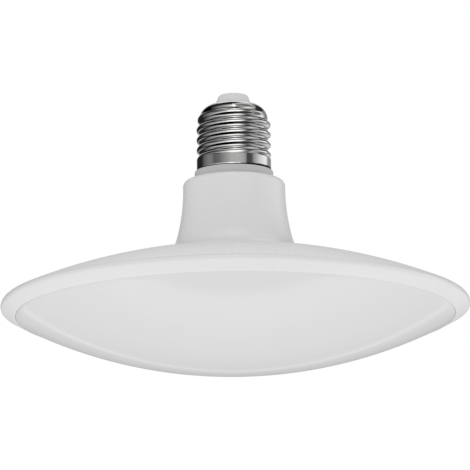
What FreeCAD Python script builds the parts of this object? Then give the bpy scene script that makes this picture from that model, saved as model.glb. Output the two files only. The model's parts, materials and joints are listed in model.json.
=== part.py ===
import FreeCAD, Part
import math
import os

# Disc lamp on a 27 mm screw cap, in millimetres, +Z up along the lamp's axis.
# The origin is on the axis, where the cap's shell stands on the housing's collar.
# The contact is the highest point and the diffuser hangs below.

# Housing: one white moulding with the dish, neck, collar and spigot
disc_radius = 82.5
rim_depth = 48.4
wall = 1.8
dish_radius = 200.0
rim_round_upper = 2.2
rim_round_lower = 1.0
lip_inset = 5.2
lip_depth = 3.5
lip_round = 0.3
ledge_depth = 0.5
groove_width = 2.0
neck_radius = 18.0
neck_round = 2.0
flare_radius = 70.0
flare_start = 2.7
root_round = 9.0
collar_radius = 13.85
collar_height = 3.4
collar_round = 0.4
spigot_height = 15.0
spigot_wall = 1.7
spigot_foot_height = 2.1
shell_clearance = 0.2
boss_radius = 3.2
rib_thickness = 1.2
rib_reach = 1.3
rib_length = 22.0

# Screw shell: thin pressed sheet with a rolled round thread
shell_radius = 13.1
shell_sheet = 0.3
shell_band = 4.2
band_proud = 0.03
thread_pitch = 3.629
thread_depth = 1.05
thread_start = 0.2
thread_top = 19.6
thread_embed = 0.2
root_land = 0.08
first_ridge = 5.9
band_slope = 1.2
ridge_run_out = 2.4
shoulder_top = 24.1
shoulder_hole = 6.6

# Cap insulator and centre contact
insulator_clearance = 0.05
insulator_bottom = 17.6
insulator_top = 27.65
insulator_waist = 1.0
insulator_taper = 2.1
insulator_round = 1.6
stem_radius = 3.5
stem_bottom = 15.0
contact_radius = 2.4
contact_proud = 0.15
contact_head = 0.8
contact_pin_radius = 0.9
contact_pin_bottom = 13.5

# Diffuser: opal cap that snaps into the rim
diffuser_clearance = 0.12
diffuser_wall = 1.6
diffuser_set_back = 0.25
diffuser_drop = 22.1
diffuser_round = 0.5
skirt_height = 4.25
bead_height = 0.8
bead_reach = 0.95
bead_count = 8
bead_angle = 14.0
snap_clearance = 0.1

# Light engine: heat sink, pad, board, chips and screws
sink_height = 4.6
sink_thickness = 1.2
sink_clearance = 0.3
sink_hole_radius = 14.5
sink_collar_height = 13.6
pad_thickness = 0.3
pad_inset = 2.0
led_board_inset = 10.2
led_board_thickness = 1.0
chip_length = 3.5
chip_width = 2.8
chip_height = 0.7
chip_inset = 8.0
chip_ring_pitch = 16.0
chip_spacing = 18.0
screw_count = 3
screw_turn = 30.0
screw_radius = 1.45
screw_clearance = 0.3
pilot_clearance = 0.05
screw_head_radius = 2.8
screw_head_height = 1.8
screw_bite = 5.5
screw_recess = 0.9

# Driver board: stepped, upright, its front face towards +Y
driver_thickness = 1.6
driver_back = 3.0
driver_lift = 3.9
driver_gap_sink = 1.0
driver_gap_neck = 0.35
driver_gap_bore = 0.5
driver_gap_end = 0.4
tongue_top = 10.0
guide_clearance = 0.15

# Parts on the driver board
lead_radius = 0.3
lead_clearance = 0.15
lead_bend = 0.8
lead_tail = 0.8
solder_radius = 0.85
solder_height = 0.6
can_radius = 4.0
can_length = 12.0
can_offset = 6.0
can_start = 1.0
can_lead_spacing = 3.5
can_lift = 0.2
can_groove = 0.5
can_groove_drop = 2.0
core_width = 13.0
core_height = 12.0
core_depth = 6.0
core_leg = 1.5
core_plate = 1.6
centre_leg = 2.8
core_lift = 3.4
bobbin_wall = 0.6
bobbin_flange = 0.8
winding_thickness = 2.0
rail_width = 10.4
rail_height = 2.0
rail_depth = 2.2
rail_pin_pitch = 4.0
varistor_radius = 3.5
varistor_thickness = 3.4
varistor_lift = 1.0
varistor_inset = 3.6
varistor_drop = 11.5
varistor_lead_spacing = 5.0
fuse_radius = 1.5
fuse_length = 6.8
fuse_waist = 1.3
fuse_waist_length = 2.2
fuse_shoulder = 1.7
fuse_inset = 4.2
fuse_gap = 1.4
fuse_lift = 0.4
fuse_lead_run = 1.3
choke_clearance = 0.6
choke_height = 7.6
choke_groove = 0.6
choke_flange = 1.5
choke_slope = 0.8
choke_drop = 1.0
choke_lead_inset = 0.8
film_width = 9.0
film_length = 8.0
film_depth = 5.6
film_centre = 0.5
film_lift = 0.3
film_lead_spacing = 5.0
bridge_size = (4.7, 2.5, 3.9)
chip_body = (3.9, 1.5, 4.9)
diode_size = (2.6, 2.1, 4.3)
resistor_size = (1.25, 0.5, 2.0)
capacitor_size = (1.25, 0.9, 2.0)
bridge_offset = 7.3
diode_offset = 7.3
diode_pitch = 7.0
resistor_pitch = 3.0
resistor_row = 9.0
capacitor_pitch = 4.0
capacitor_row = 4.8
resistor_count = 6
capacitor_count = 3
leg_thickness = 0.3
leg_width = 0.6
leg_foot = 0.9

# Pins and wires
pin_size = 0.64
pin_offset = 2.5
pin_rise = 8.0
pin_tail = 0.7
header_length = 7.6
header_depth = 2.5
header_height = 2.5
wire_radius = 0.45
wire_bend = 1.6
wire_bite = 8.0
neutral_offset = 7.0
neutral_height = 6.5
neutral_clearance = 0.02
neutral_lift = 0.65
live_height = 7.0
live_bend = 0.6
over_spigot = 1.2

AXIS = FreeCAD.Vector(0, 0, 1)
BACK = FreeCAD.Vector(0, -1, 0)
ORIGIN = FreeCAD.Vector(0, 0, 0)


def place(x, y, z):
    return FreeCAD.Vector(x, y, z)


def flat(radius, z):
    """A point of a half section, in the plane y = 0."""
    return FreeCAD.Vector(radius, 0, z)


def unit(vector):
    return FreeCAD.Vector(vector).normalize()


def to(radius, z, corner=0.0):
    """A straight run to a corner, rounded where a radius is given."""
    return flat(radius, z), corner, None


def bend(point, centre):
    """An arc about a centre, to a point."""
    return point, 0.0, centre


def arc_about(start, end, centre):
    middle = centre + unit((start - centre) + (end - centre)) * (start - centre).Length
    return Part.Arc(start, middle, end).toShape()


def corner_cut(point, before, after, radius):
    """Where a round corner leaves its two straight runs, and its arc."""
    back = unit(before - point)
    ahead = unit(after - point)
    half = back.getAngle(ahead) / 2
    arrive = point + back * (radius / math.tan(half))
    leave = point + ahead * (radius / math.tan(half))
    inward = unit(back + ahead)
    middle = point + inward * (radius / math.sin(half) - radius)
    return arrive, leave, Part.Arc(arrive, middle, leave).toShape()


def outline(steps):
    """Edges of a closed half section, in order."""
    count = len(steps)
    corners = []
    for index, (point, radius, centre) in enumerate(steps):
        if radius:
            after = steps[(index + 1) % count][0]
            corners.append(corner_cut(point, steps[index - 1][0], after, radius))
        else:
            corners.append((point, point, None))
    edges = []
    for index, (point, radius, centre) in enumerate(steps):
        start = corners[index - 1][1]
        arrive, leave, arc = corners[index]
        if centre is not None:
            edges.append(arc_about(start, arrive, centre))
        elif (arrive - start).Length > 1e-6:
            edges.append(Part.LineSegment(start, arrive).toShape())
        if arc is not None:
            edges.append(arc)
    return edges


def turned(*steps):
    """A solid turned about the axis from its half section."""
    return Part.Face(Part.Wire(outline(steps))).revolve(ORIGIN, AXIS, 360)


def box(x_low, x_high, y_low, y_high, z_low, z_high):
    size = (x_high - x_low, y_high - y_low, z_high - z_low)
    return Part.makeBox(*size, place(x_low, y_low, z_low))


def block(centre_x, centre_z, size, y_face, side):
    """A box on one face of the driver board, side +1 or -1 along Y."""
    width, depth, length = size
    y_low, y_high = sorted((y_face, y_face + side * depth))
    return box(centre_x - width / 2, centre_x + width / 2, y_low, y_high,
               centre_z - length / 2, centre_z + length / 2)


def rod(radius, start, end):
    return Part.makeCylinder(radius, (end - start).Length, start, end - start)


def around(shape, count, start=0.0):
    """Copies of a shape, evenly spaced about the axis."""
    copies = []
    for index in range(count):
        copy = shape.copy()
        copy.rotate(ORIGIN, AXIS, start + index * 360.0 / count)
        copies.append(copy)
    return copies


def bent_rod(radius, points, corner):
    """A round wire along straight runs joined by arcs."""
    edges = []
    start = points[0]
    for before, point, after in zip(points, points[1:], points[2:]):
        arrive, leave, arc = corner_cut(point, before, after, corner)
        edges += [Part.LineSegment(start, arrive).toShape(), arc]
        start = leave
    edges.append(Part.LineSegment(start, points[-1]).toShape())
    circle = Part.Circle(points[0], points[1] - points[0], radius)
    return Part.Wire(edges).makePipeShell([Part.Wire(circle.toShape())], True, False)


def together(solids):
    return Part.makeCompound(list(solids))


# Levels and curves that the pieces share
lip_radius = disc_radius - lip_inset
rim_z = -rim_depth
lip_z = rim_z - lip_depth
ledge_z = rim_z - ledge_depth
neck_top_z = -collar_height
ceiling_z = neck_top_z - wall
flare_z = neck_top_z - flare_start
root_radius = shell_radius - thread_depth
bore_inner = root_radius - shell_sheet
spigot_radius = bore_inner - shell_clearance
bore_radius = spigot_radius - spigot_wall
rim_centre_r = disc_radius - rim_round_upper
dish_centre = flat(0, rim_z - math.sqrt((dish_radius - rim_round_upper) ** 2 - rim_centre_r ** 2))
flare_centre = flat(neck_radius + flare_radius, flare_z)

sink_top = rim_z + sink_height
sink_bottom = sink_top - sink_thickness
sink_radius = math.sqrt((dish_radius - wall) ** 2 - (sink_top - dish_centre.z) ** 2) - sink_clearance
led_board_radius = sink_radius - led_board_inset
pad_radius = led_board_radius - pad_inset
outer_ring = led_board_radius - chip_inset
boss_circle = outer_ring - chip_ring_pitch / 2
pad_bottom = sink_bottom - pad_thickness
led_bottom = pad_bottom - led_board_thickness
sink_collar_top = sink_bottom + sink_collar_height

driver_front = driver_back - driver_thickness
driver_bottom = pad_bottom + driver_lift
driver_step = sink_collar_top + driver_gap_end
driver_top = ceiling_z - driver_gap_end


def root_centre():
    """Centre of the round between the neck's flare and the dish."""
    reach = dish_radius + root_round
    span = flare_centre - dish_centre
    along = unit(span)
    across = flat(-along.z, along.x)
    foot = (reach ** 2 - (flare_radius - root_round) ** 2 + span.Length ** 2) / (2 * span.Length)
    return dish_centre + along * foot + across * math.sqrt(reach ** 2 - foot ** 2)


def dish_level(radius, depth):
    """Height of the dish at a radius, at a depth below its upper face."""
    return dish_centre.z + math.sqrt((dish_radius - depth) ** 2 - radius ** 2)


def inner_space(depth):
    """The space under the housing's outer face, at a depth below it."""
    centre = root_centre()
    groove = lip_radius + groove_width + wall - depth
    low = dish_centre + unit(centre - dish_centre) * (dish_radius - depth)
    high = flare_centre + unit(centre - flare_centre) * (flare_radius + depth)
    neck = neck_radius - depth
    return turned(
        to(0, ledge_z),
        to(groove, ledge_z),
        to(groove, dish_level(groove, depth)),
        bend(low, dish_centre),
        bend(high, centre),
        bend(flat(neck, flare_z), flare_centre),
        to(neck, neck_top_z - depth),
        to(bore_radius, neck_top_z - depth),
        to(bore_radius, spigot_height),
        to(0, spigot_height),
    )


def housing_outside():
    centre = root_centre()
    foot_radius = shell_radius - shell_sheet - shell_clearance
    high = flare_centre + unit(centre - flare_centre) * flare_radius
    low = dish_centre + unit(centre - dish_centre) * dish_radius
    rim_centre = flat(rim_centre_r, rim_z)
    crown = rim_centre + unit(rim_centre - dish_centre) * rim_round_upper
    under = flat(disc_radius - rim_round_lower, rim_z)
    edge = flat(lip_radius, lip_z)
    reach = under - edge
    slope = math.atan2(reach.z, reach.x) - math.asin(rim_round_lower / reach.Length)
    run = math.sqrt(reach.Length ** 2 - rim_round_lower ** 2)
    tangent = edge + flat(math.cos(slope), math.sin(slope)) * run
    return turned(
        to(0, spigot_height),
        to(spigot_radius, spigot_height, collar_round),
        to(spigot_radius, spigot_foot_height),
        to(foot_radius, spigot_foot_height),
        to(foot_radius, 0),
        to(collar_radius, 0, collar_round),
        to(collar_radius, neck_top_z),
        to(neck_radius, neck_top_z, neck_round),
        to(neck_radius, flare_z),
        bend(high, flare_centre),
        bend(low, centre),
        bend(crown, dish_centre),
        bend(flat(disc_radius, rim_z), rim_centre),
        bend(tangent, under),
        to(lip_radius, lip_z, lip_round),
        to(lip_radius, ledge_z),
        to(0, ledge_z),
    )


def make_housing():
    boss = Part.makeCylinder(boss_radius, rim_depth, place(boss_circle, 0, sink_top))
    extras = around(boss, screw_count, screw_turn)
    reach = neck_half_width() - rib_reach
    for side in (-1, 1):
        for y_low in (-driver_front + guide_clearance, -driver_back - guide_clearance - rib_thickness):
            x_low, x_high = sorted((side * reach, side * (neck_radius + wall)))
            extras.append(box(x_low, x_high, y_low, y_low + rib_thickness,
                              ceiling_z - rib_length, 0))
    extras = together(extras).common(inner_space(wall / 2))
    housing = housing_outside().cut(inner_space(wall)).fuse(extras)
    pilot = Part.makeCylinder(screw_radius + pilot_clearance, screw_bite + 2 * pilot_clearance,
                              place(boss_circle, 0, sink_top))
    housing = housing.cut(together(around(pilot, screw_count, screw_turn)))
    wire_x = neutral_reach()
    notch = box(wire_x - wire_radius - shell_clearance, shell_radius,
                neutral_y() - wire_radius - shell_clearance,
                neutral_y() + wire_radius + shell_clearance,
                spigot_height - wire_bite, spigot_height)
    return housing.cut(notch).removeSplitter()


def shoulder_radius():
    """Radius of the shoulder's arc, level at the hole's edge."""
    width = root_radius - shoulder_hole
    height = shoulder_top - thread_top
    return (width ** 2 + height ** 2) / (2 * height)


def thread_section(depth):
    """One ridge of the round thread, with half a groove each side, at a depth under its face."""
    quarter = thread_pitch / 4
    arc = (quarter ** 2 + (thread_depth / 2) ** 2) / thread_depth
    ridge = flat(shell_radius - arc, 0)
    points = {}
    for side in (-1, 1):
        groove = flat(root_radius + arc, side * 2 * quarter)
        join = ridge + unit(groove - ridge) * (arc - depth)
        foot = flat(groove.x - math.sqrt((arc + depth) ** 2 - root_land ** 2),
                    side * (2 * quarter - root_land))
        points[side] = (foot, join, groove)
    (foot, join, groove), (top_foot, top_join, top_groove) = points[-1], points[1]
    inside = root_radius - depth - thread_embed
    return Part.Wire([
        arc_about(foot, join, groove),
        arc_about(join, top_join, ridge),
        arc_about(top_join, top_foot, top_groove),
        Part.LineSegment(top_foot, flat(inside, top_foot.z)).toShape(),
        Part.LineSegment(flat(inside, top_foot.z), flat(inside, foot.z)).toShape(),
        Part.LineSegment(flat(inside, foot.z), foot).toShape()])


def thread_ridge(depth):
    """The ridge along its right-handed helix, run out into the shoulder at its top end."""
    height = thread_top + thread_pitch / 2 - thread_start
    spine = Part.makeHelix(thread_pitch, height, root_radius)
    sweep = Part.BRepOffsetAPI.MakePipeShell(Part.Wire(spine.Edges))
    sweep.setBiNormalMode(AXIS)
    sweep.add(thread_section(depth))
    sweep.build()
    sweep.makeSolid()
    ridge = sweep.shape()
    ridge.translate(place(0, 0, thread_start))
    ridge.rotate(ORIGIN, AXIS, 360 * (thread_start - first_ridge) / thread_pitch)
    run_out = flat(-thread_depth, ridge_run_out)
    crest_end = flat(shell_radius - depth, thread_top - ridge_run_out)
    outside = crest_end - run_out
    inside = crest_end + run_out * (1 + thread_embed / (2 * thread_depth))
    return ridge.common(turned(
        to(0, 0),
        to(outside.x, 0),
        to(outside.x, outside.z),
        to(inside.x, inside.z),
        to(0, inside.z)))


def shell_body(depth):
    """The shell's outer form, solid, at a depth under its face."""
    arc_radius = shoulder_radius()
    centre = flat(shoulder_hole, shoulder_top - arc_radius)
    root = root_radius - depth
    foot = centre.z + math.sqrt((arc_radius - depth) ** 2 - (root - shoulder_hole) ** 2)
    band = shell_radius + band_proud - depth
    body = turned(
        to(0, 0),
        to(band, 0),
        to(band, shell_band),
        to(root, shell_band + band_slope),
        to(root, foot),
        bend(flat(shoulder_hole, shoulder_top - depth), centre),
        to(0, shoulder_top - depth))
    return body.fuse(thread_ridge(depth))


def make_screw_shell():
    hole = Part.makeCylinder(shoulder_hole, 2 * shell_sheet,
                             place(0, 0, shoulder_top - shell_sheet))
    return shell_body(0.0).cut([shell_body(shell_sheet), hole])


def make_cap_insulator():
    arc_radius = shoulder_radius() - shell_sheet - insulator_clearance
    centre = flat(shoulder_hole, shoulder_top - shoulder_radius())
    plug = root_radius - shell_sheet - insulator_clearance
    arc_foot = centre.z + math.sqrt(arc_radius ** 2 - (plug - shoulder_hole) ** 2)
    hole = shoulder_hole - insulator_clearance
    under = centre.z + math.sqrt(arc_radius ** 2 - (hole - shoulder_hole) ** 2)
    tip = hole - insulator_waist
    bore = contact_pin_radius + insulator_clearance
    recess = contact_radius + insulator_clearance
    return turned(
        to(bore, stem_bottom),
        to(stem_radius, stem_bottom, collar_round),
        to(stem_radius, insulator_bottom),
        to(plug, insulator_bottom),
        to(plug, arc_foot),
        bend(flat(hole, under), centre),
        to(hole, shoulder_top),
        to(tip, shoulder_top + insulator_taper),
        to(tip, insulator_top, insulator_round),
        to(recess, insulator_top),
        to(recess, insulator_top + contact_proud - contact_head),
        to(bore, insulator_top + contact_proud - contact_head),
    )


def make_centre_contact():
    top = insulator_top + contact_proud
    return turned(
        to(0, contact_pin_bottom),
        to(contact_pin_radius, contact_pin_bottom),
        to(contact_pin_radius, top - contact_head),
        to(contact_radius, top - contact_head),
        to(contact_radius, top, contact_proud),
        to(0, top),
    )


def make_diffuser():
    edge = lip_radius - diffuser_clearance
    inside = edge - diffuser_wall
    edge_z = lip_z + diffuser_set_back
    apex_z = rim_z - diffuser_drop
    sag = edge_z - apex_z
    radius = (edge ** 2 + sag ** 2) / (2 * sag)
    centre = flat(0, apex_z + radius)
    skirt_top = edge_z + skirt_height
    inner_z = centre.z - math.sqrt((radius - diffuser_wall) ** 2 - inside ** 2)
    turn_in = flat(edge - diffuser_round, 0)
    turn_in.z = centre.z - math.sqrt((radius - diffuser_round) ** 2 - turn_in.x ** 2)
    leave = centre + unit(turn_in - centre) * radius
    cap = turned(
        to(0, apex_z),
        bend(leave, centre),
        bend(flat(edge, turn_in.z), turn_in),
        to(edge, skirt_top),
        to(inside, skirt_top),
        to(inside, inner_z),
        bend(flat(0, apex_z + diffuser_wall), centre),
    )
    bead_low = ledge_z + snap_clearance
    bead_mid = bead_low + bead_height / 2
    section = Part.makePolygon([
        flat(inside, bead_low), flat(edge, bead_low), flat(edge + bead_reach, bead_mid),
        flat(edge, bead_low + bead_height), flat(inside, bead_low + bead_height),
        flat(inside, bead_low)])
    bead = Part.Face(section).revolve(ORIGIN, AXIS, bead_angle)
    return cap.fuse(around(bead, bead_count, -bead_angle / 2)).removeSplitter()


def screw_holes(bottom, height):
    hole = Part.makeCylinder(screw_radius + screw_clearance, height, place(boss_circle, 0, bottom))
    return together(around(hole, screw_count, screw_turn))


def make_heat_sink():
    outer = sink_hole_radius + sink_thickness
    sink = turned(
        to(sink_hole_radius, sink_bottom),
        to(sink_radius, sink_bottom),
        to(sink_radius, sink_top),
        to(outer, sink_top),
        to(outer, sink_collar_top),
        to(sink_hole_radius, sink_collar_top),
    )
    return sink.cut(screw_holes(sink_bottom, sink_thickness))


def make_thermal_pad():
    pad = Part.makeCylinder(pad_radius, pad_thickness, place(0, 0, pad_bottom))
    pad = pad.cut(Part.makeCylinder(sink_hole_radius, pad_thickness, place(0, 0, pad_bottom)))
    return pad.cut(screw_holes(pad_bottom, pad_thickness))


def pin_y():
    """The output pins lie on the driver board's front face."""
    return -driver_front + pin_size / 2


def make_led_board():
    board = Part.makeCylinder(led_board_radius, led_board_thickness, place(0, 0, led_bottom))
    board = board.cut(screw_holes(led_bottom, led_board_thickness))
    for x in (-pin_offset, pin_offset):
        board = board.cut(rod(pin_size / 2 + lead_clearance + lead_radius / 2,
                              place(x, pin_y(), led_bottom), place(x, pin_y(), pad_bottom)))
    return board


def make_led_chips():
    chips = []
    radius = outer_ring
    while radius > sink_hole_radius + chip_length / 2:
        chip = box(radius - chip_length / 2, radius + chip_length / 2,
                   -chip_width / 2, chip_width / 2, led_bottom - chip_height, led_bottom)
        chips += around(chip, int(2 * math.pi * radius / chip_spacing))
        radius -= chip_ring_pitch
    return together(chips)


def make_board_screws():
    tip_z = sink_top + screw_bite
    low = led_bottom - screw_head_height
    screw = turned(
        to(0, low),
        to(screw_head_radius, low, screw_recess),
        to(screw_head_radius, led_bottom),
        to(screw_radius, led_bottom),
        to(screw_radius, tip_z - screw_radius / 2),
        to(screw_radius / 2, tip_z),
        to(0, tip_z),
    )
    half = screw_recess / 2
    for turn in (0, 90):
        slot = box(-screw_radius, screw_radius, -half, half, low, low + screw_recess)
        slot.rotate(ORIGIN, AXIS, turn)
        screw = screw.cut(slot)
    screw.translate(place(boss_circle, 0, 0))
    return together(around(screw, screw_count, screw_turn))


def driver_half_width(limit, gap):
    """Half the width of the board inside a round bore."""
    return math.sqrt((limit - gap) ** 2 - driver_back ** 2)


def neck_half_width():
    return driver_half_width(neck_radius - wall, driver_gap_neck)


def can_top():
    return driver_bottom + can_start + can_length


def transformer_z():
    """Midway between the capacitors' leads and the board's shoulders."""
    return (can_top() + lead_bend + 2 * lead_radius + driver_top) / 2


def varistor_x():
    return varistor_inset - neck_half_width()


def varistor_z():
    return driver_top - varistor_drop


def side_room():
    """Half the width between the transformer's core and the housing's guides."""
    return (neck_half_width() - rib_reach - core_width / 2) / 2


def choke_radius():
    return side_room() - choke_clearance


def choke_x():
    return core_width / 2 + side_room()


def choke_z():
    return driver_top - choke_drop - choke_radius()


def fuse_x():
    return neck_half_width() - fuse_inset


def fuse_z():
    reach = fuse_length / 2 + fuse_lead_run + lead_radius
    return choke_z() - choke_radius() - fuse_gap - reach


def lead_places():
    """Where leads pass through the driver board: x and z of each."""
    places = []
    for side in (-1, 1):
        for step in (-1, 1):
            places.append((side * can_offset + step * can_lead_spacing / 2,
                           can_top() + lead_bend + lead_radius))
    rail_z = core_height / 2 - rail_height / 2
    for end in (-1, 1):
        for step in (-1, 0, 1):
            places.append((step * rail_pin_pitch, transformer_z() + end * rail_z))
    for step in (-1, 1):
        places.append((varistor_x(), varistor_z() + step * varistor_lead_spacing / 2))
        places.append((fuse_x(), fuse_z() + step * (fuse_length / 2 + fuse_lead_run)))
        places.append((choke_x(), choke_z() + step * (choke_radius() - choke_lead_inset)))
        places.append((0.0, film_centre + step * film_lead_spacing / 2))
    return places


def wire_places():
    return [(0.0, live_height), (neutral_offset, neutral_height)]


def make_driver_board():
    parts = []
    for limit, gap, low, high in (
            (sink_hole_radius, driver_gap_sink, driver_bottom, driver_step),
            (neck_radius - wall, driver_gap_neck, driver_step, driver_top),
            (bore_radius, driver_gap_bore, driver_top, tongue_top)):
        half = driver_half_width(limit, gap)
        parts.append(box(-half, half, -driver_back, -driver_front, low, high))
    board = parts[0].fuse(parts[1:]).removeSplitter()
    holes = [(x, z, lead_radius) for x, z in lead_places()]
    holes += [(x, z, wire_radius) for x, z in wire_places()]
    drills = [rod(radius + lead_clearance, place(x, -driver_back, z), place(x, -driver_front, z))
              for x, z, radius in holes]
    return board.cut(together(drills))


def tail_y():
    return -driver_back - lead_tail


def can_y():
    return -driver_front + can_lift + can_radius


def make_can(side):
    """An electrolytic capacitor lying along the board, with its rolled groove."""
    low = driver_bottom + can_start
    groove_z = can_top() - can_groove_drop
    can = turned(
        to(0, low),
        to(can_radius, low, lead_radius),
        to(can_radius, groove_z - can_groove),
        to(can_radius - can_groove, groove_z),
        to(can_radius, groove_z + can_groove),
        to(can_radius, can_top(), lead_radius),
        to(0, can_top()),
    )
    can.translate(place(side * can_offset, can_y(), 0))
    return can


def core_y():
    return -driver_front + core_lift


def make_transformer_core():
    z = transformer_z()
    y_low = core_y()
    y_high = y_low + core_depth
    half = core_width / 2
    core = box(-half, half, y_low, y_high, z - core_height / 2, z + core_height / 2)
    for side in (-1, 1):
        x_low, x_high = sorted((side * centre_leg / 2, side * (half - core_leg)))
        core = core.cut(box(x_low, x_high, y_low, y_high,
                            z - core_height / 2 + core_plate, z + core_height / 2 - core_plate))
    return core


def sleeve(inset, outset, z_low, z_high):
    """A square tube about the core's centre leg, between two distances from it."""
    shells = []
    for grow in (outset, inset):
        half = centre_leg / 2 + grow
        shells.append(box(-half, half, core_y() - grow, core_y() + core_depth + grow,
                          z_low, z_high))
    return shells[0].cut(shells[1])


def make_transformer_bobbin():
    reach = core_height / 2 - core_plate - insulator_clearance
    z = transformer_z()
    bobbin = sleeve(insulator_clearance, bobbin_wall, z - reach, z + reach)
    spread = core_width / 2 - core_leg - insulator_clearance
    for end in (-1, 1):
        low, high = sorted((z + end * reach, z + end * (reach - bobbin_flange)))
        flange = box(-spread, spread, -driver_front + rail_depth / 2,
                     core_y() + core_depth + bobbin_wall + winding_thickness, low, high)
        leg = centre_leg / 2 + insulator_clearance
        flange = flange.cut(box(-leg, leg, core_y() - insulator_clearance,
                                core_y() + core_depth + insulator_clearance, low, high))
        edge = z + end * core_height / 2
        rail_low, rail_high = sorted((edge, edge - end * (core_plate + bobbin_flange)))
        rail = box(-rail_width / 2, rail_width / 2, -driver_front, -driver_front + rail_depth,
                   rail_low, rail_high)
        bobbin = bobbin.fuse([flange, rail])
    return bobbin.removeSplitter()


def make_transformer_winding():
    reach = core_height / 2 - core_plate - 2 * insulator_clearance - bobbin_flange
    z = transformer_z()
    grow = bobbin_wall + insulator_clearance
    winding = sleeve(grow, bobbin_wall + winding_thickness, z - reach, z + reach)
    corners = []
    for edge in winding.Edges:
        middle = edge.CenterOfMass
        upright = edge.Length > 1.9 * reach and abs(edge.Vertexes[0].X - edge.Vertexes[-1].X) < 1e-6
        if upright and abs(middle.z - z) < 1e-6 and abs(middle.x) > centre_leg / 2 + grow + 1e-3:
            corners.append(edge)
    return winding.makeFillet(winding_thickness / 2, corners)


def make_varistor():
    x = varistor_x()
    y = -driver_front + varistor_lift + varistor_radius
    half = varistor_thickness / 2
    disc = rod(varistor_radius, place(x - half, y, varistor_z()), place(x + half, y, varistor_z()))
    return disc.makeFillet(half / 2, [edge for edge in disc.Edges if edge.Closed])


def fuse_y():
    return -driver_front + fuse_lift + fuse_radius


def make_fuse_resistor():
    half = fuse_length / 2
    waist = fuse_waist_length / 2
    body = turned(
        to(0, -half), to(fuse_radius, -half, lead_radius), to(fuse_radius, -fuse_shoulder),
        to(fuse_waist, -waist), to(fuse_waist, waist), to(fuse_radius, fuse_shoulder),
        to(fuse_radius, half, lead_radius), to(0, half))
    body.translate(place(fuse_x(), fuse_y(), fuse_z()))
    return body


def make_filter_choke():
    radius = choke_radius()
    waist = radius - choke_groove
    low = choke_flange + choke_slope
    body = turned(
        to(0, 0), to(radius, 0), to(radius, choke_flange), to(waist, low),
        to(waist, choke_height - low), to(radius, choke_height - choke_flange),
        to(radius, choke_height, lead_radius), to(0, choke_height))
    body.rotate(ORIGIN, place(1, 0, 0), -90)
    body.translate(place(choke_x(), -driver_front, choke_z()))
    return body


def make_film_capacitor():
    y_low = -driver_front + film_lift
    body = box(-film_width / 2, film_width / 2, y_low, y_low + film_depth,
               film_centre - film_length / 2, film_centre + film_length / 2)
    return body.makeFillet(lead_bend, body.Edges)


def back_places():
    """Centres of the parts on the board's back face: x and z."""
    middle = transformer_z()
    low = driver_bottom + can_start
    return {
        "bridge": [(-bridge_offset, middle)],
        "chip": [(0.0, middle)],
        "diodes": [(diode_offset, middle + step * diode_pitch / 2) for step in (-1, 1)],
        "resistors": [((step - (resistor_count - 1) / 2) * resistor_pitch, low + resistor_row)
                      for step in range(resistor_count)],
        "capacitors": [((step - (capacitor_count - 1) / 2) * capacitor_pitch, low + capacitor_row)
                       for step in range(capacitor_count)],
    }


def back_blocks(name, size):
    blocks = [block(x, z, size, -driver_back, -1) for x, z in back_places()[name]]
    return together(blocks)


def gull_legs(x, z, size, across, pitch, pairs):
    """Bent legs on two sides of a flat body, across X or along Z."""
    legs = []
    reach = (size[0] if across else size[2]) / 2
    y = -driver_back
    mid_y = y - size[1] / 2
    for side in (-1, 1):
        for index in range(pairs):
            shift = (index - (pairs - 1) / 2) * pitch
            near, far = sorted((side * reach, side * (reach + leg_foot)))
            post = sorted((side * reach, side * (reach + leg_thickness)))
            for low, high, y_low, y_high in ((near, far, y - leg_thickness, y),
                                             (post[0], post[1], mid_y, y)):
                if across:
                    leg = box(x + low, x + high, y_low, y_high,
                              z + shift - leg_width / 2, z + shift + leg_width / 2)
                else:
                    leg = box(x + shift - leg_width / 2, x + shift + leg_width / 2,
                              y_low, y_high, z + low, z + high)
                legs.append(leg)
    return [legs[index].fuse(legs[index + 1]).removeSplitter() for index in range(0, len(legs), 2)]


def make_component_leads():
    leads = []
    tail = tail_y()
    front = -driver_front
    places = lead_places()
    for x, z in places[:4]:
        leads.append(bent_rod(lead_radius, [place(x, can_y(), can_top()), place(x, can_y(), z),
                                            place(x, tail, z)], lead_bend))
    for x, z in places[4:10]:
        leads.append(rod(lead_radius, place(x, tail, z), place(x, front, z)))
    for varistor, fuse, choke, film in (places[10:14], places[14:18]):
        reach = varistor_lead_spacing / 2 - lead_radius
        body_y = front + varistor_lift + varistor_radius - math.sqrt(varistor_radius ** 2 - reach ** 2)
        leads.append(rod(lead_radius, place(varistor[0], tail, varistor[1]),
                         place(varistor[0], body_y, varistor[1])))
        end = fuse_z() + math.copysign(fuse_length / 2, fuse[1] - fuse_z())
        leads.append(bent_rod(lead_radius, [place(fuse[0], fuse_y(), end),
                                            place(fuse[0], fuse_y(), fuse[1]),
                                            place(fuse[0], tail, fuse[1])], lead_bend))
        leads.append(rod(lead_radius, place(choke[0], tail, choke[1]),
                         place(choke[0], front, choke[1])))
        leads.append(rod(lead_radius, place(film[0], tail, film[1]),
                         place(film[0], front + film_lift, film[1])))
    for x, z in back_places()["bridge"]:
        leads += gull_legs(x, z, bridge_size, False, bridge_size[0] / 2, 2)
    for x, z in back_places()["chip"]:
        leads += gull_legs(x, z, chip_body, True, chip_body[2] / 4, 4)
    return together(leads)


def solder_cone(x, z, hole):
    base = place(x, -driver_back, z)
    cone = Part.makeCone(solder_radius, hole + lead_clearance, solder_height, base, BACK)
    return cone.cut(rod(hole, base, base + BACK * solder_height))


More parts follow.
